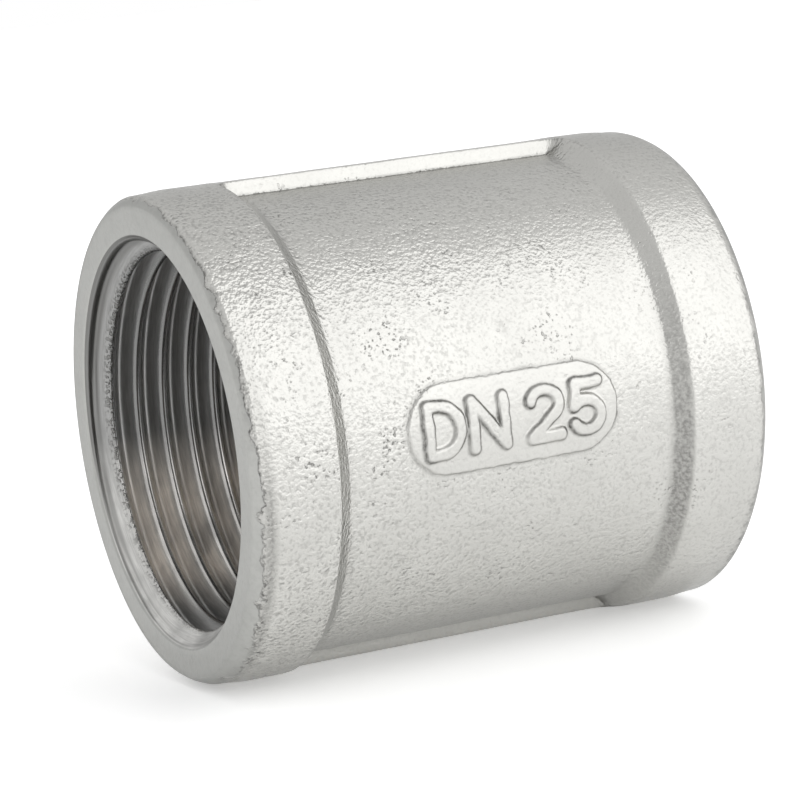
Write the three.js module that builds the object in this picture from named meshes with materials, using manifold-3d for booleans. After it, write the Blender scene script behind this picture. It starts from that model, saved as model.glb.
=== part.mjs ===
// Threaded pipe coupling, nominal size DN 25 (1 inch), in cast stainless steel.
//
// The coupling is one investment casting: a barrel with a raised collar at each end, two
// longitudinal ribs that run from collar to collar, and a raised size pad on one side. Its bore
// is machined from both ends with a right-hand parallel pipe thread, with a short plain
// clearance groove where the two threads would meet.
//
// Frame: the origin is the middle of the bore. +X runs along the bore, the size pad faces -Y,
// and the ribs lie on top and underneath, at +Z and -Z. Lengths are in millimetres.

import * as THREE from 'three';
import { mergeVertices } from 'three/addons/utils/BufferGeometryUtils.js';
import Module from 'manifold-3d';

// ---- driving dimensions -------------------------------------------------------------------

const LENGTH = 45;
const COLLAR_RADIUS = 20;
const COLLAR_WIDTH = 6.9;
const BARREL_RADIUS = 18.75;
const SHOULDER_WIDTH = 1.5;

// The end of a collar: a rounded edge, then a slight casting taper.
const EDGE_DEPTH = 1.2;
const EDGE_HEIGHT = 0.8;
const TAPER_DEPTH = 2.6;
const TAPER_HEIGHT = 0.2;

// Parallel pipe thread of 1 inch nominal size, 11 threads to the inch.
const THREAD_PITCH = 2.309;
const THREAD_MAJOR_RADIUS = 33.249 / 2;
const THREAD_MINOR_RADIUS = 30.291 / 2;
const THREAD_FLAT = 0.167;
const THREAD_LENGTH = 18;
const GROOVE_RADIUS = THREAD_MAJOR_RADIUS + 0.15;
const MOUTH_RADIUS = 16.8;
const MOUTH_DEPTH = 1.8;

const RIB_TOP_WIDTH = 1.6;
const RIB_BASE_WIDTH = 2.6;
const RIB_HEIGHT = 19.95;

const PAD_LENGTH = 18.2;
const PAD_WIDTH = 7.1;
const PAD_RADIUS = BARREL_RADIUS + 0.3;
const MARK_RADIUS = PAD_RADIUS + 0.4;
const MARK_HEIGHT = 4.6;
const MARK_GLYPH_WIDTH = 2.7;
const STROKE_WIDTH = 0.85;

// ---- fineness -----------------------------------------------------------------------------

const BODY_SEGMENTS = 64;
const THREAD_SEGMENTS = 40;
const EDGE_STEPS = 4;
const SHOULDER_STEPS = 3;
const ARC_STEPS = 8;
const CAP_STEPS = 4;

// How far a cutting or joining shape runs past the face that it passes through.
const OVERRUN = 1;

const HALF_LENGTH = LENGTH / 2;

// ---- solids -------------------------------------------------------------------------------

const wasm = await Module();
wasm.setup();

// Turns a closed three.js geometry into a solid that can be joined and cut.
function toSolid(geometry) {
  geometry.deleteAttribute('normal');
  geometry.deleteAttribute('uv');
  const merged = mergeVertices(geometry, 1e-5);
  const index = merged.index.array;
  const triangles = [];
  for (let i = 0; i < index.length; i += 3) {
    const [a, b, c] = [index[i], index[i + 1], index[i + 2]];
    if (a !== b && b !== c && c !== a) {
      triangles.push(a, b, c);
    }
  }
  const mesh = new wasm.Mesh({
    numProp: 3,
    vertProperties: new Float32Array(merged.attributes.position.array),
    triVerts: new Uint32Array(triangles),
  });
  return new wasm.Manifold(mesh);
}

function toGeometry(solid) {
  const mesh = solid.getMesh();
  const geometry = new THREE.BufferGeometry();
  geometry.setAttribute('position', new THREE.BufferAttribute(mesh.vertProperties, 3));
  geometry.setIndex(new THREE.BufferAttribute(mesh.triVerts, 1));
  geometry.computeVertexNormals();
  return geometry;
}

// A shape of revolution about X. The profile is a list of [x, radius], from the axis to the
// axis. The radii are those of the flats, and a flat is centred on each of +-Y and +-Z.
function turned(profile) {
  const outward = 1 / Math.cos(Math.PI / BODY_SEGMENTS);
  const points = profile.map(([x, radius]) => new THREE.Vector2(radius * outward, x));
  const geometry = new THREE.LatheGeometry(points, BODY_SEGMENTS, Math.PI / BODY_SEGMENTS);
  return geometry.rotateZ(-Math.PI / 2);
}

// A flat outline in (x, z) extruded between two depths towards -Y.
function towardsPad(shape, fromDepth, toDepth) {
  const geometry = new THREE.ExtrudeGeometry(shape, {
    depth: toDepth - fromDepth,
    bevelEnabled: false,
  });
  geometry.rotateX(Math.PI / 2);
  geometry.translate(0, -fromDepth, 0);
  return toSolid(geometry);
}

// ---- casting ------------------------------------------------------------------------------

// The outer profile of the end at -X, from the bore axis to the barrel.
function endProfile() {
  const profile = [[-HALF_LENGTH, 0]];
  const edgeRadius = COLLAR_RADIUS - TAPER_HEIGHT;
  for (let i = 0; i <= EDGE_STEPS; i += 1) {
    const angle = (i / EDGE_STEPS) * (Math.PI / 2);
    profile.push([
      -HALF_LENGTH + EDGE_DEPTH * (1 - Math.cos(angle)),
      edgeRadius - EDGE_HEIGHT * (1 - Math.sin(angle)),
    ]);
  }
  profile.push([-HALF_LENGTH + EDGE_DEPTH + TAPER_DEPTH, COLLAR_RADIUS]);
  return profile.concat(shoulderProfile());
}

// The collar's inner shoulder: a corner, then a concave sweep down to the barrel.
function shoulderProfile() {
  const start = -HALF_LENGTH + COLLAR_WIDTH;
  const height = COLLAR_RADIUS - BARREL_RADIUS;
  const profile = [];
  for (let i = 0; i <= SHOULDER_STEPS; i += 1) {
    const along = i / SHOULDER_STEPS;
    profile.push([start + SHOULDER_WIDTH * along, BARREL_RADIUS + height * (1 - along) ** 1.5]);
  }
  return profile;
}

function barrelWithCollars() {
  const nearEnd = endProfile();
  const farEnd = nearEnd.map(([x, radius]) => [-x, radius]).reverse();
  return toSolid(turned([...nearEnd, ...farEnd]));
}

// One rib of trapezoid section, flush with the collars and sunk into them at both ends.
function rib(side) {
  const sunk = BARREL_RADIUS - OVERRUN;
  const section = new THREE.Shape([
    new THREE.Vector2(-RIB_BASE_WIDTH / 2, side * sunk),
    new THREE.Vector2(-RIB_TOP_WIDTH / 2, side * RIB_HEIGHT),
    new THREE.Vector2(RIB_TOP_WIDTH / 2, side * RIB_HEIGHT),
    new THREE.Vector2(RIB_BASE_WIDTH / 2, side * sunk),
  ]);
  const halfRun = HALF_LENGTH - COLLAR_WIDTH + OVERRUN;
  const geometry = new THREE.ExtrudeGeometry(section, { depth: 2 * halfRun, bevelEnabled: false });
  geometry.translate(0, 0, -halfRun);
  geometry.applyMatrix4(new THREE.Matrix4().makeBasis(
    new THREE.Vector3(0, 1, 0),
    new THREE.Vector3(0, 0, 1),
    new THREE.Vector3(1, 0, 0),
  ));
  return toSolid(geometry);
}

// ---- size pad and mark --------------------------------------------------------------------

function padOutline() {
  const radius = PAD_WIDTH / 2;
  const straight = PAD_LENGTH / 2 - radius;
  const shape = new THREE.Shape();
  shape.absarc(straight, 0, radius, -Math.PI / 2, Math.PI / 2, false);
  shape.absarc(-straight, 0, radius, Math.PI / 2, (3 * Math.PI) / 2, false);
  return shape;
}

// Points along a straight stroke, in glyph units: the glyph is 1 wide and 1 high.
function line(x0, y0, x1, y1) {
  return [new THREE.Vector2(x0, y0), new THREE.Vector2(x1, y1)];
}

// Points along an elliptic stroke, from one angle to the other in degrees.
function arc(x, y, radiusX, radiusY, from, to) {
  const points = [];
  for (let i = 0; i <= ARC_STEPS; i += 1) {
    const angle = THREE.MathUtils.degToRad(from + ((to - from) * i) / ARC_STEPS);
    points.push(new THREE.Vector2(x + radiusX * Math.cos(angle), y + radiusY * Math.sin(angle)));
  }
  return points;
}

const GLYPHS = {
  D: [line(0, 0, 0, 1), line(0, 1, 0.35, 1), arc(0.35, 0.5, 0.65, 0.5, 90, -90), line(0.35, 0, 0, 0)],
  N: [line(0, 0, 0, 1), line(0, 1, 1, 0), line(1, 0, 1, 1)],
  2: [arc(0.5, 0.7, 0.46, 0.3, 165, -35), line(0.877, 0.528, 0.02, 0), line(0.02, 0, 0.98, 0)],
  5: [line(0.9, 1, 0.14, 1), line(0.14, 1, 0.08, 0.53), arc(0.46, 0.32, 0.48, 0.32, 138, -150)],
};

// The mark reads along +X. Each entry is a glyph and the middle of its place on the pad.
const MARK = [['D', -6.1], ['N', -2.3], ['2', 2.6], ['5', 6.3]];

// The outline of a stroke of constant width with round ends, drawn along a run of points.
function strokeOutline(points) {
  const half = STROKE_WIDTH / 2;
  const last = points.length - 1;
  const left = [];
  const right = [];
  points.forEach((point, i) => {
    const before = points[Math.max(i - 1, 0)];
    const after = points[Math.min(i + 1, last)];
    const normal = after.clone().sub(before).normalize().rotateAround(new THREE.Vector2(), Math.PI / 2);
    left.push(point.clone().addScaledVector(normal, half));
    right.push(point.clone().addScaledVector(normal, -half));
  });
  const cap = (centre, from) => {
    const turn = [];
    for (let i = 1; i < CAP_STEPS; i += 1) {
      turn.push(from.clone().rotateAround(centre, (-Math.PI * i) / CAP_STEPS));
    }
    return turn;
  };
  return new THREE.Shape([
    ...left,
    ...cap(points[last], left[last]),
    ...right.reverse(),
    ...cap(points[0], right[last]),
  ]);
}

function markStrokes() {
  const strokes = [];
  for (const [name, middle] of MARK) {
    for (const points of GLYPHS[name]) {
      const placed = points.map((point) => new THREE.Vector2(
        middle + (point.x - 0.5) * MARK_GLYPH_WIDTH,
        (point.y - 0.5) * (MARK_HEIGHT - STROKE_WIDTH),
      ));
      strokes.push(strokeOutline(placed));
    }
  }
  return strokes;
}

// Anything raised on the pad side is extruded and then trimmed to a cylinder about the bore.
function raisedTo(radius, shapes) {
  const from = BARREL_RADIUS - OVERRUN;
  const to = radius + OVERRUN;
  const blocks = shapes.map((shape) => towardsPad(shape, from, to));
  const trim = turned([
    [-HALF_LENGTH, 0],
    [-HALF_LENGTH, radius],
    [HALF_LENGTH, radius],
    [HALF_LENGTH, 0],
  ]);
  return blocks.reduce((whole, block) => whole.add(block)).intersect(toSolid(trim));
}

// ---- bore ---------------------------------------------------------------------------------

// The thread's section along one pitch: [fraction of the pitch, radius].
const THREAD_SECTION = [
  [0, THREAD_MINOR_RADIUS],
  [THREAD_FLAT, THREAD_MINOR_RADIUS],
  [0.5, THREAD_MAJOR_RADIUS],
  [0.5 + THREAD_FLAT, THREAD_MAJOR_RADIUS],
];

// A right-hand threaded plug about X, whose rows of vertices follow the helix. It starts past
// the face at -X and ends inside the clearance groove. One turn on, a row meets the row that is
// one whole section later, and a fan to a point on the axis closes each end.
function threadPlug() {
  const rowsPerTurn = THREAD_SECTION.length;
  const turns = Math.ceil(THREAD_LENGTH / THREAD_PITCH) + 1;
  const rows = turns * rowsPerTurn;
  const start = -HALF_LENGTH - THREAD_PITCH * 1.05;
  const positions = [];
  const firstOfRow = [];

  for (let row = 0; row <= rows + rowsPerTurn; row += 1) {
    const [fraction, radius] = THREAD_SECTION[row % rowsPerTurn];
    const columns = row <= rows ? THREAD_SEGMENTS : 1;
    firstOfRow.push(positions.length / 3);
    for (let column = 0; column < columns; column += 1) {
      const turn = column / THREAD_SEGMENTS;
      const x = start + THREAD_PITCH * (Math.floor(row / rowsPerTurn) + fraction + turn);
      const angle = turn * 2 * Math.PI;
      positions.push(x, radius * Math.cos(angle), radius * Math.sin(angle));
    }
  }
  const vertex = (row, column) => (column === THREAD_SEGMENTS
    ? firstOfRow[row + rowsPerTurn]
    : firstOfRow[row] + column);

  const triangles = [];
  for (let row = 0; row < rows; row += 1) {
    for (let column = 0; column < THREAD_SEGMENTS; column += 1) {
      const [a, b] = [vertex(row, column), vertex(row, column + 1)];
      const [c, d] = [vertex(row + 1, column + 1), vertex(row + 1, column)];
      triangles.push(a, b, c, a, c, d);
    }
  }
  const startTip = positions.length / 3;
  positions.push(start + THREAD_PITCH / 2, 0, 0);
  triangles.push(...fan(startTip, endLoop(vertex, 0, rowsPerTurn)).reverse());
  const endTip = startTip + 1;
  positions.push(start + THREAD_PITCH * (turns + 0.5), 0, 0);
  triangles.push(...fan(endTip, endLoop(vertex, rows, rowsPerTurn)));

  const geometry = new THREE.BufferGeometry();
  geometry.setAttribute('position', new THREE.Float32BufferAttribute(positions, 3));
  geometry.setIndex(triangles);
  return geometry;
}

// The open edge at one end of the plug: once round the helix, then back along the section.
function endLoop(vertex, row, rowsPerTurn) {
  const loop = [];
  for (let column = 0; column < THREAD_SEGMENTS; column += 1) {
    loop.push(vertex(row, column));
  }
  for (let step = rowsPerTurn; step > 0; step -= 1) {
    loop.push(step === rowsPerTurn ? vertex(row, THREAD_SEGMENTS) : vertex(row + step, 0));
  }
  return loop;
}

function fan(tip, loop) {
  return loop.flatMap((vertex, i) => [tip, vertex, loop[(i + 1) % loop.length]]);
}

// The chamfer at the mouth at -X, as a cone that runs out past the face.
function mouthCone() {
  const slope = (MOUTH_RADIUS - THREAD_MINOR_RADIUS) / MOUTH_DEPTH;
  const outer = -HALF_LENGTH - OVERRUN;
  const inner = -HALF_LENGTH + MOUTH_DEPTH;
  return turned([
    [outer, 0],
    [outer, MOUTH_RADIUS + slope * OVERRUN],
    [inner, THREAD_MINOR_RADIUS],
    [inner, 0],
  ]);
}

function clearanceGroove() {
  const half = HALF_LENGTH - THREAD_LENGTH;
  const shoulder = GROOVE_RADIUS - THREAD_MINOR_RADIUS + OVERRUN;
  return turned([
    [-half - shoulder, 0],
    [-half - shoulder, THREAD_MINOR_RADIUS - OVERRUN],
    [-half, GROOVE_RADIUS],
    [half, GROOVE_RADIUS],
    [half + shoulder, THREAD_MINOR_RADIUS - OVERRUN],
    [half + shoulder, 0],
  ]);
}

// Half a turn about Z brings the -X end onto the +X end and keeps the thread right-handed.
function atBothEnds(geometry) {
  const farEnd = geometry.clone().rotateZ(Math.PI);
  return toSolid(geometry).add(toSolid(farEnd));
}

function threadedBore() {
  return atBothEnds(threadPlug()).add(atBothEnds(mouthCone())).add(toSolid(clearanceGroove()));
}

// ---- coupling -----------------------------------------------------------------------------

function couplingBody() {
  const casting = barrelWithCollars()
    .add(rib(1))
    .add(rib(-1))
    .add(raisedTo(PAD_RADIUS, [padOutline()]))
    .add(raisedTo(MARK_RADIUS, markStrokes()));
  const material = new THREE.MeshStandardMaterial({ color: 0xc6c6c1, roughness: 0.42, metalness: 1 });
  const mesh = new THREE.Mesh(toGeometry(casting.subtract(threadedBore())), material);
  mesh.name = 'coupling_body';
  return mesh;
}

const group = new THREE.Group();
group.add(couplingBody());

export default group;
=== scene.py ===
"""A cast stainless pipe coupling, as it looks: its surface, its threads and its studio.

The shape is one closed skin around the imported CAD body. Its outside is a profile turned about the
bore (X) and raised or lowered by a height at each place: ribs, size pad, mark and the unevenness
of a casting. Its inside follows the helix of the thread. Sizes are in millimetres, in the frame's
own axes, and become metres when the mesh is written.
"""

import math

import bmesh
import bpy
import numpy as np
from mathutils import Matrix, Vector, noise


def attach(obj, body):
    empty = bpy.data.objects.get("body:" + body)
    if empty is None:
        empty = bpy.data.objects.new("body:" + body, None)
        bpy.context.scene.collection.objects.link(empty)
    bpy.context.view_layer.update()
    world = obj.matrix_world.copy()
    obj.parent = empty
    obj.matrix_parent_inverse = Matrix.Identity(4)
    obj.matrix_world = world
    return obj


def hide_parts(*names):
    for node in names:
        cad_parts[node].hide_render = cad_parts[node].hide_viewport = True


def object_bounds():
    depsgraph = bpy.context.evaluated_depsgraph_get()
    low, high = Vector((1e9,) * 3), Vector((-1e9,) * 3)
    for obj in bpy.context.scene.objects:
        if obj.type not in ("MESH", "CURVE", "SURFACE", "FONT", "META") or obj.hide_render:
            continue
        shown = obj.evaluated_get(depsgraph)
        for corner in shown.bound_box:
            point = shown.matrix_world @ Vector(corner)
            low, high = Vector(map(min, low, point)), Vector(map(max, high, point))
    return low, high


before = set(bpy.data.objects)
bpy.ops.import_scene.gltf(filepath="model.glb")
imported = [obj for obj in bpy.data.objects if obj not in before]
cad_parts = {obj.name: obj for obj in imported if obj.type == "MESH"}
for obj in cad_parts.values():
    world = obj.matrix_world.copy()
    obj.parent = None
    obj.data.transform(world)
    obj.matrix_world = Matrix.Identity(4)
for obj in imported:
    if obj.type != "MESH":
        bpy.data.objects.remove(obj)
cad_low, cad_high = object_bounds()

MM = 0.001

# ---- sizes -----------------------------------------------------------------------------------

HALF_LENGTH = cad_high.x / MM
COLLAR_RADIUS = cad_high.z / MM
COLLAR_WIDTH = 6.9
BARREL_RADIUS = 18.75

# The shoulder falls from the collar's inner corner to the barrel. The corner is rounded over a
# few points, each given as its distance before the corner and its drop.
SHOULDER_WIDTH = 1.5
SHOULDER_CURVE = 1.12
CORNER_ROUNDING = [(0.35, 0.0), (0.16, 0.01), (0.05, 0.05)]

# The collar's rounded outer edge, and the gentle taper behind it.
EDGE_DEPTH = 1.2
EDGE_HEIGHT = 0.8
EDGE_FLATNESS = 1.5
TAPER_DEPTH = 2.6
TAPER_HEIGHT = 0.2

# How the edge's depth varies around the bore, as shares of it; the angle in degrees where it is
# deepest; and how far behind the edge the shift fades out.
EDGE_MEAN_SHIFT = -0.1
EDGE_VARIES = 0.35
EDGE_DEEPEST = {"near": -130, "far": 110}
EDGE_FADE = 3.5

# How far behind the end face the cut surface gives way to the casting.
CUT_DEPTH = 2.0
CUT_VARIES = 1.0
CUT_SHALLOWEST = 60

MOUTH_RADIUS = 16.8
MOUTH_DEPTH = 1.85
MOUTH_BLEND = 0.05
LIP = 0.08

# The ring of vertices in each mouth where the outside's skin meets the bore's, and how near to it
# a row of the thread's grid may end.
MOUTH_RING_DEPTH = 2.5 * LIP
MOUTH_RING_GAP = 0.04

THREAD_PITCH = 2.309
THREAD_MINOR_RADIUS = 30.291 / 2
THREAD_ROUNDING = 0.137329 * THREAD_PITCH
THREAD_HALF_ANGLE = math.radians(27.5)
THREAD_LENGTH = 18.0
THREAD_START = 0.21
GROOVE_RADIUS = 33.549 / 2
RUN_OUT = 1.6
RUN_OUT_BLEND = 0.1

# Degrees from the middle of a rib or of the pad past which its shape has no say.
RIB_LIMIT = 60
PAD_LIMIT = 60

RIB_TOP_WIDTH = 1.7
RIB_BASE_WIDTH = 2.1
RIB_HEIGHT = 19.95
RIB_FLARE = 1.8
RIB_ROUNDING = 0.1
RIB_FILLET = 0.16
RIB_SMOOTHING = 0.7
RIB_SMOOTHING_FADE = 0.4

# How far the ribs and the pad may reach into the collars.
COLLAR_OVERLAP = 0.1

PAD_LENGTH = 18.2
PAD_WIDTH = 7.1
PAD_HEIGHT = 0.3
PAD_WALL = 0.24
PAD_SMOOTHING = 0.6
PAD_SMOOTHING_FADE = 0.3
MARK_HEIGHT = 4.6
MARK_GLYPH_WIDTH = 2.7
STROKE_WIDTH = 0.95
STROKE_WALL = 0.26
STROKE_RAISE = 0.36
OUTLINE_WOBBLE = 0.11
OUTLINE_WOBBLE_SIZE = 0.9

# Unevenness of the casting: broad waves, and finer ones on them. The inset keeps them within the
# nominal size.
WAVE_DEPTH = 0.035
WAVE_SIZE = 7.0
FINE_WAVE_DEPTH = 0.012
FINE_WAVE_SIZE = 2.1
CUT_FACE_WAVES = 0.12
INSET = 0.02

# Painted shade: how strong it is at each place, where it is darkest (in degrees) and how far it
# reaches.
GRIME_REACH = 0.26
GRIME_PATCH_SIZE = 2.3
GRIME_PATCH_MEAN = 0.75
GRIME_PATCH_SWING = 1.3
GRIME_PATCH_LIMITS = (0.15, 1.15)
SHOULDER_GRIME_RISE = 4
SHOULDER_GRIME_FALL = 5
SHOULDER_GRIME_END = 1.1
NEAR_SHOULDER_GRIME = 0.12
FAR_SHOULDER_GRIME = 0.85
FAR_SHOULDER_DIRTIEST = -20
FAR_SHOULDER_DIRT_REACH = 75
EDGE_GRIME = 0.8
EDGE_DIRTIEST = -22
EDGE_DIRT_REACH = 62
EDGE_DIRT_DEPTH = 1.5
EDGE_DIRT_WIDTH = 0.8
PAD_GRIME = 0.5
RIB_GRIME = 0.5

# ---- fineness --------------------------------------------------------------------------------

COLUMNS = 336
FACE_STEP = 0.45
EDGE_POINTS = 8
TAPER_GAP = 0.4
TAPER_STEP = 0.6
SHOULDER_POINTS = 8
BARREL_STEP = 0.4
PLAIN_BARREL_STEP = 1.3 * BARREL_STEP
PAD_MARGIN = 0.7
PAD_CUTS = 3
RIB_STRETCH = 4.0
RIB_PACKING = 1.2
WALL_STRETCH = 0.6
WALL_PACKING = 6.0

# ---- camera ----------------------------------------------------------------------------------

VIEW_YAW = math.radians(24.0)
VIEW_ELEVATION = math.radians(7.9)
VIEW_ROLL = math.radians(9.45)
VIEW_DISTANCE = 282.2
AIM_RIGHT = 0.91
AIM_UP = -0.06
SENSOR_WIDTH = 36.0
LENS = 153.84


def make_camera():
    """A long lens, low on the pad's side, turned towards the near end and rolled."""
    towards_pad = Vector((0, -math.cos(VIEW_ELEVATION), math.sin(VIEW_ELEVATION)))
    level_up = Vector((0, math.sin(VIEW_ELEVATION), math.cos(VIEW_ELEVATION)))
    along = Vector((1, 0, 0))
    backward = math.cos(VIEW_YAW) * towards_pad - math.sin(VIEW_YAW) * along
    level_right = math.cos(VIEW_YAW) * along + math.sin(VIEW_YAW) * towards_pad
    right = math.cos(VIEW_ROLL) * level_right - math.sin(VIEW_ROLL) * level_up
    up = math.sin(VIEW_ROLL) * level_right + math.cos(VIEW_ROLL) * level_up
    place = VIEW_DISTANCE * backward - AIM_RIGHT * right - AIM_UP * up

    data = bpy.data.cameras.new("camera")
    data.sensor_width = SENSOR_WIDTH
    data.lens = LENS
    data.clip_start = 0.01
    data.clip_end = 20
    camera = bpy.data.objects.new("camera", data)
    bpy.context.scene.collection.objects.link(camera)
    axes = Matrix((right, up, backward)).transposed()
    camera.matrix_world = Matrix.Translation(place * MM) @ axes.to_4x4()
    bpy.context.scene.camera = camera


# ---- helpers ---------------------------------------------------------------------------------


def smoothstep(value):
    value = np.clip(value, 0, 1)
    return value * value * (3 - 2 * value)


def smooth_max(a, b, blend):
    """The larger of a and b, with the corner between them rounded over about blend."""
    near = np.clip(0.5 + 0.5 * (a - b) / blend, 0, 1)
    return b + (a - b) * near + blend * near * (1 - near)


def smooth_min(a, b, blend):
    return -smooth_max(-a, -b, blend)


def steps(start, stop, size):
    """Values from start up to, but not including, stop, about size apart."""
    count = max(1, round(abs(stop - start) / size))
    return np.linspace(start, stop, count + 1)[:-1]


def packed(start, stop, count, stretches):
    """count + 1 values from start to stop, packed closer within each (middle, half, weight)."""
    fine = np.linspace(start, stop, 20001)
    density = np.ones_like(fine)
    for middle, half, weight in stretches:
        density += weight * smoothstep(2 - np.abs(fine - middle) / half)
    total = np.concatenate([[0], np.cumsum((density[1:] + density[:-1]) / 2)])
    return np.interp(np.linspace(0, total[-1], count + 1), total, fine)


def ripple(points, size, offset=0.0):
    """Smooth noise from -1 to 1, with features about size millimetres across."""
    shift = Vector((offset, 2 * offset, 3 * offset))
    return np.array([noise.noise(Vector(p) / size + shift) for p in points])


# ---- outside: profile ------------------------------------------------------------------------


def near_end_profile():
    """[x, radius] from just inside the near mouth to the foot of the near shoulder."""
    face = -HALF_LENGTH
    edge = COLLAR_RADIUS - TAPER_HEIGHT
    points = [
        (face + 1.5 * LIP, chamfer_radius(1.5 * LIP)),
        (face + 0.5 * LIP, chamfer_radius(0.5 * LIP)),
        (face + 0.12 * LIP, MOUTH_RADIUS + 0.25 * LIP),
    ]
    points += [(face, r) for r in steps(MOUTH_RADIUS + LIP, edge - EDGE_HEIGHT, FACE_STEP)]
    for angle in np.radians(np.linspace(0, 90, EDGE_POINTS)):
        out = EDGE_DEPTH * (1 - abs(math.cos(angle)) ** EDGE_FLATNESS)
        points.append((face + out, edge - EDGE_HEIGHT * (1 - math.sin(angle) ** EDGE_FLATNESS)))
    taper_start = face + EDGE_DEPTH
    taper_end = face + COLLAR_WIDTH - CORNER_ROUNDING[0][0]
    for x in steps(taper_start + TAPER_GAP, taper_end, TAPER_STEP):
        rise = TAPER_HEIGHT * smoothstep((x - taper_start) / TAPER_DEPTH)
        points.append((x, edge + rise))
    return points + shoulder_profile(face + COLLAR_WIDTH)


def shoulder_profile(corner):
    """The collar's inner corner, slightly rounded, and its concave sweep to the barrel."""
    height = COLLAR_RADIUS - BARREL_RADIUS
    points = [(corner - before, COLLAR_RADIUS - drop) for before, drop in CORNER_ROUNDING]
    for share in np.linspace(0.02, 1, SHOULDER_POINTS):
        rise = height * (1 - share) ** SHOULDER_CURVE
        points.append((corner + SHOULDER_WIDTH * share, BARREL_RADIUS + rise))
    return points


def outer_profile():
    """[x, radius] of the whole outside, from mouth to mouth."""
    near = near_end_profile()
    foot = near[-1][0]
    pad_end = PAD_LENGTH / 2 + PAD_MARGIN
    barrel = np.concatenate([
        steps(foot, -pad_end, PLAIN_BARREL_STEP)[1:],
        steps(-pad_end, pad_end, BARREL_STEP),
        steps(pad_end, -foot, PLAIN_BARREL_STEP),
    ])
    far = [(-x, radius) for x, radius in reversed(near)]
    return np.array(near + [(x, BARREL_RADIUS) for x in barrel] + far)


def profile_normals(profile):
    along = np.gradient(profile, axis=0)
    outward = np.stack([-along[:, 1], along[:, 0]], 1)
    return outward / np.linalg.norm(outward, axis=1, keepdims=True)


# ---- outside: raised features ----------------------------------------------------------------


def rib_radius(x, angle):
    """Distance from the bore's axis to the surface of the rib at +-90 degrees."""
    away = np.radians(np.abs(np.abs(angle) - 90))
    away = np.minimum(away, math.radians(RIB_LIMIT))
    foot = HALF_LENGTH - COLLAR_WIDTH
    near_end = np.clip((np.abs(x) - foot + RIB_FLARE) / RIB_FLARE, 0, 1)
    flare = RIB_FLARE * (1 - np.sqrt(1 - near_end**2))
    slope = (RIB_BASE_WIDTH - RIB_TOP_WIDTH) / 2 / (RIB_HEIGHT - BARREL_RADIUS)
    top = RIB_HEIGHT / np.cos(away)
    half_width = RIB_TOP_WIDTH / 2 + flare + RIB_HEIGHT * slope
    side = half_width / (np.sin(away) + slope * np.cos(away))
    return smooth_min(top, side, RIB_ROUNDING)


def line(x0, y0, x1, y1):
    return np.array([(x0, y0), (x1, y1)])


def arc(x, y, radius_x, radius_y, start, stop):
    angles = np.radians(np.linspace(start, stop, 17))
    return np.stack([x + radius_x * np.cos(angles), y + radius_y * np.sin(angles)], 1)


# Strokes of each glyph, in a square one unit wide and high.
GLYPHS = {
    "D": [line(0, 0, 0, 1), line(0, 1, 0.35, 1), arc(0.35, 0.5, 0.65, 0.5, 90, -90),
          line(0.35, 0, 0, 0)],
    "N": [line(0, 0, 0, 1), line(0, 1, 1, 0), line(1, 0, 1, 1)],
    "2": [arc(0.5, 0.7, 0.46, 0.3, 165, -35), line(0.877, 0.528, 0.02, 0), line(0.02, 0, 0.98, 0)],
    "5": [line(0.9, 1, 0.14, 1), line(0.14, 1, 0.08, 0.53), arc(0.46, 0.32, 0.48, 0.32, 138, -150)],
}

# The nominal size, read along +X: each glyph and the middle of its place on the pad.
MARK = [("D", -6.1), ("N", -2.3), ("2", 2.6), ("5", 6.3)]


def mark_distance(places):
    """Distance on the pad from each [x, z] to the nearest stroke of the mark."""
    nearest = np.full(len(places), np.inf)
    for name, middle in MARK:
        for stroke in GLYPHS[name]:
            points = (stroke - 0.5) * (MARK_GLYPH_WIDTH, MARK_HEIGHT - STROKE_WIDTH) + (middle, 0)
            for start, end in zip(points[:-1], points[1:]):
                run = end - start
                share = np.clip((places - start) @ run / (run @ run), 0, 1)
                gap = np.linalg.norm(places - start - share[:, None] * run, axis=1)
                nearest = np.minimum(nearest, gap)
    return nearest


def pad_depth(x, z):
    """How far inside the pad's outline a place is; negative outside it."""
    radius = PAD_WIDTH / 2
    past = np.maximum(np.abs(x) - (PAD_LENGTH / 2 - radius), 0)
    return radius - np.hypot(past, z)


def pad_gaps(x, angle):
    """Each place's depth inside the pad's outline, and its distance from the mark's strokes."""
    z = BARREL_RADIUS * np.sin(np.radians(angle))
    depth = np.where(np.abs(angle) < PAD_LIMIT, pad_depth(x, z), -np.inf)
    distance = np.full(len(x), np.inf)
    on_pad = depth > 0
    distance[on_pad] = mark_distance(np.stack([x, z], 1)[on_pad])
    return depth, distance


def raised_height(pad_gap, mark_gap):
    """Height of the pad and its mark above the barrel."""
    past_top = mark_gap - (STROKE_WIDTH - STROKE_WALL) / 2
    pad = PAD_HEIGHT * smoothstep(pad_gap / PAD_WALL + 0.5)
    return pad + STROKE_RAISE * (1 - smoothstep(past_top / STROKE_WALL))


# ---- outside: grid ---------------------------------------------------------------------------


def outer_grid(bm, profile, angles):
    """Quads over (row, column), finer over the size pad."""
    rows, columns = len(profile), len(angles) - 1
    verts = [[bm.verts.new((row, column, 0)) for column in range(columns)] for row in range(rows)]
    reach_x = PAD_LENGTH / 2 + PAD_MARGIN
    reach_angle = math.degrees((PAD_WIDTH / 2 + PAD_MARGIN) / BARREL_RADIUS)
    fine_edges = set()
    for row in range(rows - 1):
        for column in range(columns):
            ahead = (column + 1) % columns
            face = bm.faces.new((verts[row][column], verts[row][ahead],
                                 verts[row + 1][ahead], verts[row + 1][column]))
            inside_x = abs(profile[row][0]) < reach_x and abs(profile[row + 1][0]) < reach_x
            if inside_x and abs(angles[column]) < reach_angle:
                fine_edges.update(face.edges)
    bmesh.ops.subdivide_edges(bm, edges=list(fine_edges), cuts=PAD_CUTS, use_grid_fill=True)


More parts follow.
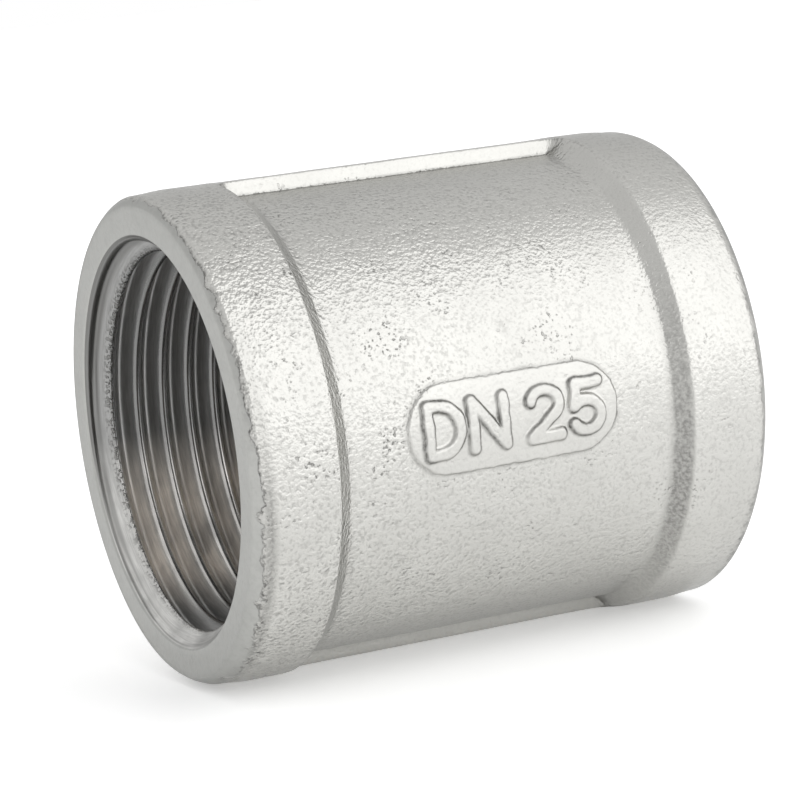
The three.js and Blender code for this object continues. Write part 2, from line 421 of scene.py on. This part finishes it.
def end_ring(bm, row):
    """The grid's vertices in one of its end rows, in order of column."""
    return sorted((v for v in bm.verts if v.co.x == row), key=lambda v: v.co.y)


def grid_places(bm, profile, angles):
    """Each grid vertex's x, radius, outward direction along x and across it, and angle."""
    place = np.array([v.co for v in bm.verts])
    row, column = place[:, 0], place[:, 1]
    rows = np.arange(len(profile))
    normals = profile_normals(profile)
    x, radius = (np.interp(row, rows, profile[:, k]) for k in (0, 1))
    out_x, out_r = (np.interp(row, rows, normals[:, k]) for k in (0, 1))
    return x, radius, out_x, out_r, np.interp(column, np.arange(len(angles)), angles)


def around_bore(x, radius, turn):
    """[x, y, z] of places at a radius from the bore's axis and a turn from the pad's side."""
    return np.stack([x, -radius * np.cos(turn), radius * np.sin(turn)], 1)


# ---- outside: casting ------------------------------------------------------------------------


def shifted_edge(x, angle):
    """x, with the collars' rounded edges deeper on one side, as on a casting faced off tilted."""
    depth = HALF_LENGTH - np.abs(x)
    deepest = np.where(x < 0, EDGE_DEEPEST["near"], EDGE_DEEPEST["far"])
    size = EDGE_MEAN_SHIFT + EDGE_VARIES * np.cos(np.radians(angle - deepest))
    share = np.clip(depth / EDGE_DEPTH, 0, 1) * (1 - smoothstep((depth - EDGE_DEPTH) / EDGE_FADE))
    return x - np.sign(x) * EDGE_DEPTH * size * share


def cut_mask(x, angle):
    """1 on the end face, falling to 0 where the cut surface has given way to the casting."""
    depth = HALF_LENGTH - np.abs(x)
    reach = CUT_DEPTH - CUT_VARIES * np.cos(np.radians(angle - CUT_SHALLOWEST))
    return 1 - np.clip(depth / reach, 0, 1)


def bell(value, reach):
    """1 at zero, falling smoothly to 0 at reach on either side."""
    return 1 - smoothstep(np.abs(value) / reach)


def shoulder_grime(x, angle):
    """Painted shade held in the two concave shoulders, most of it on one side of the far one."""
    share = (HALF_LENGTH - np.abs(x) - COLLAR_WIDTH) / SHOULDER_WIDTH
    on_shoulder = smoothstep(SHOULDER_GRIME_RISE * share)
    on_shoulder *= smoothstep(SHOULDER_GRIME_FALL * (SHOULDER_GRIME_END - share))
    far_side = bell(angle - FAR_SHOULDER_DIRTIEST, FAR_SHOULDER_DIRT_REACH)
    far = np.maximum(FAR_SHOULDER_GRIME * far_side, NEAR_SHOULDER_GRIME)
    return on_shoulder * np.where(x < 0, NEAR_SHOULDER_GRIME, far)


def edge_grime(x, angle):
    """A band of painted shade where the near collar's rounded edge ends, on one side of it."""
    band = bell(x + HALF_LENGTH - EDGE_DIRT_DEPTH, EDGE_DIRT_WIDTH)
    return EDGE_GRIME * band * bell(angle - EDGE_DIRTIEST, EDGE_DIRT_REACH)


def foot_grime(places, pad_gap, mark_gap, rib_gap):
    """Patchy painted shade along the foot of each raised wall."""
    pad = PAD_GRIME * bell(pad_gap + PAD_WALL / 2, GRIME_REACH)
    mark = bell(mark_gap - STROKE_WIDTH / 2, GRIME_REACH)
    rib = RIB_GRIME * bell(rib_gap, GRIME_REACH)
    patches = GRIME_PATCH_MEAN + GRIME_PATCH_SWING * ripple(places, GRIME_PATCH_SIZE, offset=9.1)
    return np.clip(patches, *GRIME_PATCH_LIMITS) * np.max([pad, mark, rib], axis=0)


def unevenness(places, facing_out, on_pad):
    """Height of the casting's waves: least on the cut faces and on the pad."""
    waves = WAVE_DEPTH * ripple(places, WAVE_SIZE)
    waves += FINE_WAVE_DEPTH * ripple(places, FINE_WAVE_SIZE, offset=5.3)
    waves *= np.clip(smoothstep(facing_out), CUT_FACE_WAVES, 1)
    return waves * (1 - PAD_SMOOTHING * on_pad)


def shape_outside(bm, profile, angles):
    """Moves the grid's vertices onto the casting. Returns each vertex's masks for the material."""
    x, radius, out_x, out_r, angle = grid_places(bm, profile, angles)
    turn = np.radians(angle)
    on_barrel = around_bore(x, BARREL_RADIUS, turn)
    between_collars = HALF_LENGTH - np.abs(x) > COLLAR_WIDTH - COLLAR_OVERLAP

    rib_gap = rib_radius(x, angle) - radius
    ribbed = smooth_max(radius, radius + rib_gap, RIB_FILLET)
    on_rib = smoothstep((ribbed - radius) / RIB_SMOOTHING_FADE) * between_collars
    radius = np.where(between_collars, np.minimum(ribbed, COLLAR_RADIUS), radius)
    rib_gap = np.where(between_collars, rib_gap, np.inf)

    wobble = OUTLINE_WOBBLE * ripple(on_barrel, OUTLINE_WOBBLE_SIZE, offset=3.7)
    pad_gap, mark_gap = (gap + wobble for gap in pad_gaps(x, angle))
    radius = radius + raised_height(pad_gap, mark_gap) * between_collars

    on_pad = smoothstep(pad_gap / PAD_SMOOTHING_FADE + 0.5)
    outward = unevenness(around_bore(x, radius, turn), out_r, on_pad) - INSET
    # Painted shade at the feet of the raised walls, in the shoulders and on the near collar's
    # rounded edge.
    grime = [foot_grime(on_barrel, pad_gap, mark_gap, rib_gap),
             shoulder_grime(x, angle), edge_grime(x, angle)]
    masks = {
        "grain": (1 - PAD_SMOOTHING * on_pad) * (1 - RIB_SMOOTHING * on_rib),
        "cut": cut_mask(x, angle),
        "grime": np.max(grime, axis=0),
    }
    places = around_bore(shifted_edge(x, angle) + out_x * outward, radius + out_r * outward, turn)
    for vert, place in zip(bm.verts, places):
        vert.co = place
    return masks


# ---- inside ----------------------------------------------------------------------------------


def chamfer_radius(depth):
    """Radius of the mouth's chamfer at a depth from the end face."""
    return MOUTH_RADIUS - (MOUTH_RADIUS - THREAD_MINOR_RADIUS) * depth / MOUTH_DEPTH


def thread_radius(turns):
    """Radius of the rounded 55 degree thread, whose crests lie at whole turns."""
    reach = THREAD_ROUNDING * math.cos(THREAD_HALF_ANGLE)
    slope = 1 / math.tan(THREAD_HALF_ANGLE)
    half = THREAD_PITCH / 2
    from_crest = THREAD_PITCH * np.abs(turns - np.round(turns))

    def rounded(distance):
        within = np.minimum(distance, reach)
        return THREAD_ROUNDING - np.sqrt(THREAD_ROUNDING**2 - within**2)

    depth = rounded(from_crest)
    depth += slope * np.clip(from_crest - reach, 0, half - 2 * reach)
    depth += rounded(np.array(reach)) - rounded(half - np.maximum(from_crest, half - reach))
    return THREAD_MINOR_RADIUS + depth


def bore_radius(x, turns):
    depth = HALF_LENGTH - np.abs(x)
    thread = smooth_max(thread_radius(turns), chamfer_radius(depth), MOUTH_BLEND)
    run_out = GROOVE_RADIUS - RUN_OUT * np.maximum(THREAD_LENGTH - depth, 0)
    return smooth_max(thread, run_out, RUN_OUT_BLEND)


# Rows along one pitch of the thread: close together on the rounded crest and root.
THREAD_ROWS = [0, 0.061, 0.122, 0.25, 0.378, 0.439, 0.5, 0.561, 0.622, 0.75, 0.878, 0.939]


def mouth_ring(bm, x, angles):
    """A ring of vertices on the mouth's chamfer."""
    radius = chamfer_radius(HALF_LENGTH - abs(x))
    return [bm.verts.new((x, -radius * math.cos(t), radius * math.sin(t)))
            for t in np.radians(angles)]


def thread_grid(bm, angles, near_ring, far_ring):
    """Rows of vertices along the right-hand helix; past a mouth, those of its ring instead."""
    mouth = HALF_LENGTH - MOUTH_RING_DEPTH
    first_turn = -HALF_LENGTH / THREAD_PITCH - THREAD_START
    pitches = math.ceil(2 * HALF_LENGTH / THREAD_PITCH) + 2
    shares = (angles + 180) / 360
    grid = []
    for pitch in range(pitches):
        for fraction in THREAD_ROWS:
            turns = first_turn + pitch + fraction
            x = THREAD_PITCH * (turns - shares)
            radius = bore_radius(x, np.full(len(angles), pitch + fraction))
            grid.append([
                near_ring[j] if x[j] < -mouth + MOUTH_RING_GAP else
                far_ring[j] if x[j] > mouth - MOUTH_RING_GAP else
                bm.verts.new((x[j], -radius[j] * math.cos(t), radius[j] * math.sin(t)))
                for j, t in enumerate(np.radians(angles))
            ])
    return grid


def add_bore(bm, angles):
    """Threads and the groove between them, from mouth to mouth. Returns the mouths' rings."""
    near_ring = mouth_ring(bm, MOUTH_RING_DEPTH - HALF_LENGTH, angles)
    far_ring = mouth_ring(bm, HALF_LENGTH - MOUTH_RING_DEPTH, angles)
    grid = thread_grid(bm, angles, near_ring, far_ring)
    columns, per_turn = len(angles), len(THREAD_ROWS)

    def vertex(row, column):
        if column < columns:
            return grid[row][column]
        return grid[row - per_turn][0] if row >= per_turn else near_ring[0]

    for row in range(len(grid) - 1):
        for column in range(columns):
            corners = [vertex(row, column), vertex(row, column + 1),
                       vertex(row + 1, column + 1), vertex(row + 1, column)]
            corners = list(dict.fromkeys(corners))
            if len(corners) > 2:
                bm.faces.new(corners).material_index = 1
    return near_ring, far_ring


def join_rings(bm, fine, coarse):
    """Closes the gap between a ring and another with half as many vertices."""
    count = len(coarse)
    for j in range(count):
        a, b = coarse[j], coarse[(j + 1) % count]
        left, middle, right = fine[2 * j], fine[2 * j + 1], fine[(2 * j + 2) % len(fine)]
        for corners in ((a, left, middle), (a, middle, b), (b, middle, right)):
            bm.faces.new(corners).material_index = 1


# ---- materials -------------------------------------------------------------------------------

# Rough metal reflects less at a grazing angle than polished metal does.
EDGE_TINT = (0.7, 0.7, 0.7, 1)


class Tree:
    """A short way to write a node tree."""

    def __init__(self, tree, coordinates):
        self.tree = tree
        self.place = self.add("ShaderNodeTexCoord").outputs[coordinates]

    def add(self, kind, inputs=(), **settings):
        node = self.tree.nodes.new(kind)
        for key, value in settings.items():
            setattr(node, key, value)
        for key, value in dict(inputs).items():
            if isinstance(value, bpy.types.NodeSocket):
                self.tree.links.new(value, node.inputs[key])
            else:
                node.inputs[key].default_value = value
        return node

    def noise(self, size, detail, stretch=(1, 1, 1)):
        """Noise with features about size millimetres across, shorter along a stretched axis."""
        place = self.add("ShaderNodeVectorMath", {0: self.place, 1: stretch},
                         operation="MULTIPLY").outputs[0]
        return self.add("ShaderNodeTexNoise", {
            "Vector": place, "Scale": 1 / (size * MM), "Detail": detail}).outputs["Fac"]

    def math(self, operation, a, b):
        return self.add("ShaderNodeMath", {0: a, 1: b}, operation=operation).outputs[0]

    def remap(self, value, low, high, to_low, to_high):
        return self.add("ShaderNodeMapRange", {
            "Value": value, "From Min": low, "From Max": high,
            "To Min": to_low, "To Max": to_high}).outputs["Result"]

    def blend(self, factor, a, b):
        node = self.add("ShaderNodeMix", data_type="RGBA")
        for socket, value in zip((node.inputs[0], node.inputs[6], node.inputs[7]), (factor, a, b)):
            if isinstance(value, bpy.types.NodeSocket):
                self.tree.links.new(value, socket)
            else:
                socket.default_value = value
        return node.outputs[2]

    def attribute(self, name):
        return self.add("ShaderNodeAttribute", attribute_name=name).outputs["Fac"]

    def bump(self, height, depth, under=None):
        """Bump whose height from 0 to 1 stands for depth millimetres."""
        inputs = {"Height": height, "Distance": depth * MM}
        if under:
            inputs["Normal"] = under
        return self.add("ShaderNodeBump", inputs).outputs["Normal"]


class Nodes(Tree):
    """A material's node tree, around its one shader."""

    def __init__(self, name):
        self.material = bpy.data.materials.new(name)
        self.material.use_nodes = True
        super().__init__(self.material.node_tree, "Object")
        self.shader = self.tree.nodes["Principled BSDF"]

    def to_shader(self, **links):
        for key, value in links.items():
            self.tree.links.new(value, self.shader.inputs[key.replace("_", " ")])


CAST_LIGHT = (0.57, 0.566, 0.542, 1)
CAST_DARK = (0.48, 0.476, 0.455, 1)
# The cut faces' machined tone, set darker than the casting partly as painted shade.
CUT_METAL = (0.42, 0.422, 0.405, 1)
# Dark tone for dirt and dull spots, and for painted shade on the casting.
GRIME = (0.17, 0.168, 0.16, 1)

# Sizes and depths of the casting's texture, in millimetres.
GRAIN_SIZE = 0.3
GRAIN_DEPTH = 0.12
SWELL_SIZE = 1.1
SWELL_DEPTH = 0.06
PIT_DEPTH = 0.05
PIT_CLUSTER_SIZE = 3.2
PATCH_SIZE = 5.0
BORDER_SIZE = 1.5
BORDER_STEP = 0.012
SCUFF_SIZE = 0.45
DULL_SPOT_SIZE = 1.3

# Along the bore, in metres: from where to where the casting's texture weakens.
TEXTURE_FADE = (-0.02, 0.012)


def cast_border(nodes):
    """The faced-off part, and a band around it: both 1 inside and 0 outside, with ragged edges."""
    ragged = nodes.remap(nodes.noise(BORDER_SIZE, 6.0), 0.3, 0.7, -0.28, 0.28)
    border = nodes.math("ADD", ragged, nodes.attribute("cut"))
    return nodes.remap(border, 0.48, 0.6, 0, 1), nodes.remap(border, 0.15, 0.5, 0, 1)


def cast_strength(nodes, cut, patches):
    """How rough the surface is: in patches, most at the near end, and hardly where it is cut."""
    along = nodes.add("ShaderNodeSeparateXYZ", {0: nodes.place}).outputs["X"]
    strength = nodes.math("MULTIPLY", nodes.remap(patches, 0.3, 0.7, 1.15, 0.75),
                          nodes.remap(along, *TEXTURE_FADE, 1.2, 0.65))
    mask = nodes.math("MULTIPLY", nodes.attribute("grain"), nodes.remap(cut, 0, 1, 1.0, 0.1))
    return nodes.math("MULTIPLY", mask, strength)


def cast_dirt(nodes, grain, pitted, border, mask):
    """Darkening, most of it painted shade: in the grain's hollows and pits, where the shade mask
    asks, and as scuffs over painted shade around the cut faces.
    """
    hollows = nodes.math("MULTIPLY", nodes.remap(grain, 0.32, 0.5, 0.3, 0), mask)
    # Scuffs near the cut faces, over a smooth band of painted shade.
    scuffs = nodes.remap(nodes.noise(SCUFF_SIZE, 3.0), 0.48, 0.6, 0.25, 0.9)
    scuffed = nodes.math("MULTIPLY", nodes.math("MULTIPLY", border, scuffs), mask)
    spotty = nodes.remap(nodes.noise(GRAIN_SIZE, 2.0), 0.35, 0.65, 0.5, 1)
    dirt = nodes.math("MULTIPLY", nodes.attribute("grime"), spotty)
    for more in (hollows, scuffed, nodes.math("MULTIPLY", pitted, 0.7)):
        dirt = nodes.math("MAXIMUM", dirt, more)
    return dirt


def cast_steel():
    """Blasted and pickled casting with pits in clusters, faced off at its two ends."""
    nodes = Nodes("cast_stainless")
    nodes.shader.inputs["Metallic"].default_value = 1
    nodes.shader.inputs["Specular Tint"].default_value = EDGE_TINT
    cut, border = cast_border(nodes)
    patches = nodes.noise(PATCH_SIZE, 3.0)
    mask = cast_strength(nodes, cut, patches)

    grain = nodes.noise(GRAIN_SIZE, 1.0)
    swell = nodes.noise(SWELL_SIZE, 1.0)
    crowded = nodes.remap(nodes.noise(PIT_CLUSTER_SIZE, 1.0), 0.55, 0.68, 0, 1)
    pits = nodes.remap(grain, 0.28, 0.38, 1, 0)
    pitted = nodes.math("MULTIPLY", pits, nodes.math("MAXIMUM", crowded, border))
    pitted = nodes.math("MULTIPLY", pitted, mask)

    rough = nodes.bump(nodes.math("MULTIPLY", grain, mask), GRAIN_DEPTH)
    rough = nodes.bump(nodes.math("MULTIPLY", swell, mask), SWELL_DEPTH, rough)
    rough = nodes.bump(nodes.math("SUBTRACT", 1.0, pitted), PIT_DEPTH, rough)
    rough = nodes.bump(nodes.math("SUBTRACT", 1.0, cut), BORDER_STEP, rough)

    dull_spots = nodes.remap(nodes.noise(DULL_SPOT_SIZE, 3.0), 0.45, 0.75, 0, 0.1)
    cast_colour = nodes.blend(nodes.remap(patches, 0.3, 0.7, 0, 0.3), CAST_LIGHT, CAST_DARK)
    colour = nodes.blend(cut, cast_colour, nodes.blend(dull_spots, CUT_METAL, GRIME))
    # Dirt and scuffs darken the colour, and so does painted shade in hollows, pits, shoulders, the
    # edge band and the feet of walls.
    colour = nodes.blend(cast_dirt(nodes, grain, pitted, border, mask), colour, GRIME)
    gloss = nodes.remap(patches, 0.3, 0.7, 0.28, 0.34)
    nodes.to_shader(Base_Color=colour, Roughness=gloss, Normal=rough)
    return nodes.material


# Bore colours by height: painted shade on the upper threads and at their mouths, painted highlights
# on the lower crests, and painted light on the lower flanks and mouths, whose brown tint is the
# film's own.
CREST_OILED = (0.22, 0.22, 0.218, 1)
GROOVE_OILED = (0.45, 0.45, 0.445, 1)
FLANK_AT_MOUTH = (0.34, 0.34, 0.335, 1)
RIM_AT_MOUTH = (0.24, 0.24, 0.235, 1)
CREST_WIPED = (0.72, 0.7, 0.67, 1)
BROWN_FILM = (0.78, 0.72, 0.65, 1)
MOUTH_WIPED = (0.66, 0.655, 0.635, 1)

# Where the parts of the bore lie, in metres: by radius, by distance from the middle, by height.
CREST_BAND = (0.0153, 0.0158)
RIM_BAND = (0.0160, 0.0163)
MOUTH_BAND = (0.0205, 0.0209)
FIRST_CREST_BAND = (0.0199, 0.0203)
BOTTOM_BAND = (-0.0152, -0.0125)
WIPED_BAND = (-0.001, -0.006)

# Sizes and depths of the bore's texture, in millimetres. Its streaks and rings run round it.
STREAK_SIZE = 0.67
STREAK_STRETCH = (9, 0.35, 0.35)
STREAK_DEPTH = 0.006
RING_SIZE = 0.32
RING_STRETCH = (1, 0.02, 0.02)
RING_DEPTH = 0.08
NICK_SIZE = 0.3
NICK_DEPTH = 0.08
FILM_PATCH_SIZE = 3.5


def bore_places(nodes):
    """Height, distance from the middle along the bore, and radius."""
    axes = nodes.add("ShaderNodeSeparateXYZ", {0: nodes.place})
    along = nodes.math("ABSOLUTE", axes.outputs["X"], 0.0)
    across = nodes.add("ShaderNodeVectorMath", {0: nodes.place, 1: (0, 1, 1)},
                       operation="MULTIPLY").outputs[0]
    radius = nodes.add("ShaderNodeVectorMath", {0: across}, operation="LENGTH").outputs["Value"]
    return axes.outputs["Z"], along, radius


def bore_colour(nodes, crest, at_mouth, at_rim, wiped):
    """Colour under the dirt: by the part of the thread, and by height: painted shade above, painted
    light below.
    """
    oiled = nodes.blend(crest, GROOVE_OILED, CREST_OILED)
    oiled = nodes.blend(at_mouth, oiled, FLANK_AT_MOUTH)
    oiled = nodes.blend(at_rim, oiled, RIM_AT_MOUTH)
    bare = nodes.blend(crest, BROWN_FILM, CREST_WIPED)
    bare = nodes.blend(at_mouth, bare, MOUTH_WIPED)
    return nodes.blend(wiped, oiled, bare)


def bore_nicks(nodes, crest, along):
    """Nicks along the first crest."""
    first_crest = nodes.math("MULTIPLY", crest, nodes.remap(along, *FIRST_CREST_BAND, 0, 1))
    nicked = nodes.remap(nodes.noise(NICK_SIZE, 1.0), 0.5, 0.6, 0, 1)
    return nodes.math("MULTIPLY", nicked, first_crest)


def machined_steel():
    """Cut threads: painted shade above, and below painted highlights on the crests and a brown
    film, lightened by painted light, between.
    """
    nodes = Nodes("machined_thread")
    nodes.shader.inputs["Specular Tint"].default_value = EDGE_TINT
    height, along, radius = bore_places(nodes)
    streaks = nodes.noise(STREAK_SIZE, 2.0, STREAK_STRETCH)
    rings = nodes.noise(RING_SIZE, 1.0, RING_STRETCH)

    crest = nodes.remap(radius, *CREST_BAND, 1, 0)
    at_mouth = nodes.remap(along, *MOUTH_BAND, 0, 1)
    at_rim = nodes.math("MULTIPLY", at_mouth, nodes.remap(radius, *RIM_BAND, 0, 1))
    # Below the bore's middle, but not at its very bottom away from the mouths, the colours carry
    # painted light.
    above_bottom = nodes.math("MAXIMUM", at_mouth, nodes.remap(height, *BOTTOM_BAND, 0, 1))
    low = nodes.math("MULTIPLY", nodes.remap(height, *WIPED_BAND, 0, 1), above_bottom)
    film_patches = nodes.remap(nodes.noise(FILM_PATCH_SIZE, 3.0), 0.3, 0.6, 0.5, 1.0)
    wiped = nodes.math("MULTIPLY", film_patches, low)

    nicks = bore_nicks(nodes, crest, along)
    dirt = nodes.math("MULTIPLY", nodes.remap(rings, 0.42, 0.56, 0.6, 0), at_rim)
    dirt = nodes.math("MAXIMUM", dirt, nodes.remap(streaks, 0.35, 0.65, 0.3, 0))
    dirt = nodes.math("MAXIMUM", dirt, nodes.math("MULTIPLY", nicks, 0.8))
    colour = nodes.blend(dirt, bore_colour(nodes, crest, at_mouth, at_rim, wiped), GRIME)

    film = nodes.math("MULTIPLY", wiped, nodes.remap(crest, 0, 1, 0.75, 0))
    metal = nodes.math("SUBTRACT", 1.0, film)
    gloss = nodes.remap(crest, 0, 1, 0.4, 0.26)
    rough = nodes.bump(streaks, STREAK_DEPTH)
    rough = nodes.bump(nodes.math("MULTIPLY", rings, at_rim), RING_DEPTH, rough)
    rough = nodes.bump(nicks, NICK_DEPTH, rough)
    nodes.to_shader(Base_Color=colour, Metallic=metal, Roughness=gloss, Normal=rough)
    return nodes.material


# ---- coupling --------------------------------------------------------------------------------


def column_angles():
    """The grid's columns in degrees, closer together on the ribs and closest on their walls."""
    wall = math.degrees((RIB_TOP_WIDTH + RIB_BASE_WIDTH) / 4 / RIB_HEIGHT)
    stretches = []
    for middle in (-90, 90):
        stretches.append((middle, RIB_STRETCH, RIB_PACKING))
        stretches += [(middle + side * wall, WALL_STRETCH, WALL_PACKING) for side in (-1, 1)]
    return packed(-180, 180, COLUMNS, stretches)


def coupling_skin():
    """The whole closed skin, facing outwards, and the masks of its outside's vertices."""
    bm = bmesh.new()
    profile = outer_profile()
    angles = column_angles()
    outer_grid(bm, profile, angles)
    near_edge, far_edge = end_ring(bm, 0), end_ring(bm, len(profile) - 1)
    masks = shape_outside(bm, profile, angles)
    near_ring, far_ring = add_bore(bm, angles[:-1:2])
    join_rings(bm, near_edge, near_ring)
    join_rings(bm, far_edge, far_ring)
    bmesh.ops.recalc_face_normals(bm, faces=bm.faces)
    if bm.calc_volume(signed=True) < 0:
        bmesh.ops.reverse_faces(bm, faces=bm.faces)
    bmesh.ops.scale(bm, vec=(MM, MM, MM), verts=bm.verts)
    for face in bm.faces:
        face.smooth = True
    return bm, masks


def make_coupling():
    bm, masks = coupling_skin()
    mesh = bpy.data.meshes.new("coupling_casting")
    bm.to_mesh(mesh)
    bm.free()
    for name, outside in masks.items():
        mask = np.zeros(len(mesh.vertices), np.float32)
        mask[:len(outside)] = outside
        mesh.attributes.new(name, "FLOAT", "POINT").data.foreach_set("value", mask)
    mesh.materials.append(cast_steel())
    mesh.materials.append(machined_steel())
    casting = bpy.data.objects.new("coupling_casting", mesh)
    bpy.context.scene.collection.objects.link(casting)
    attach(casting, "root")
    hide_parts("coupling_body")


# ---- studio ----------------------------------------------------------------------------------

FLOOR_REACH = 8.0
PAPER = 0.9
PAPER_ROUGHNESS = 0.45
PAPER_GLOW = 0.28
HORIZON_LIGHT = 1.0
WALL_LIGHT = 0.88
WALL_FADE = (0.1, 0.45)
KEY_AZIMUTH = math.radians(28)
KEY_ELEVATION = math.radians(20)
KEY_SPREAD = math.radians(98)
KEY_STRENGTH = 1.65


def make_floor():
    """Plain pale satin paper."""
    reach = FLOOR_REACH
    mesh = bpy.data.meshes.new("floor")
    corners = [(-reach, -reach), (reach, -reach), (reach, reach), (-reach, reach)]
    mesh.from_pydata([(x, y, cad_low.z) for x, y in corners], [], [(0, 1, 2, 3)])
    floor = bpy.data.objects.new("floor", mesh)
    bpy.context.scene.collection.objects.link(floor)
    nodes = Nodes("floor_paper")
    nodes.shader.inputs["Base Color"].default_value = (PAPER, PAPER, PAPER, 1)
    nodes.shader.inputs["Roughness"].default_value = PAPER_ROUGHNESS
    nodes.shader.inputs["Emission Color"].default_value = (1, 1, 1, 1)
    nodes.shader.inputs["Emission Strength"].default_value = PAPER_GLOW
    mesh.materials.append(nodes.material)


def make_surround():
    """Pale walls all round, white at the horizon and a little dimmer higher up."""
    world = bpy.data.worlds.new("surround")
    bpy.context.scene.world = world
    world.use_nodes = True
    nodes = Tree(world.node_tree, "Generated")
    height = nodes.add("ShaderNodeSeparateXYZ", {0: nodes.place}).outputs["Z"]
    strength = nodes.remap(height, *WALL_FADE, HORIZON_LIGHT, WALL_LIGHT)
    background = nodes.tree.nodes["Background"]
    background.inputs["Color"].default_value = (1, 1, 1, 1)
    nodes.tree.links.new(strength, background.inputs["Strength"])


def make_key_light():
    """One large soft source in front, above and a little to the right."""
    data = bpy.data.lights.new("key_light", "SUN")
    data.angle = KEY_SPREAD
    data.energy = KEY_STRENGTH
    lamp = bpy.data.objects.new("key_light", data)
    level = math.cos(KEY_ELEVATION)
    source = Vector((level * math.sin(KEY_AZIMUTH), -level * math.cos(KEY_AZIMUTH),
                     math.sin(KEY_ELEVATION)))
    lamp.rotation_mode = "QUATERNION"
    lamp.rotation_quaternion = source.to_track_quat("Z", "Y")
    bpy.context.scene.collection.objects.link(lamp)


make_camera()
make_coupling()
make_floor()
make_surround()
make_key_light()
bpy.context.scene.view_settings.view_transform = "Standard"
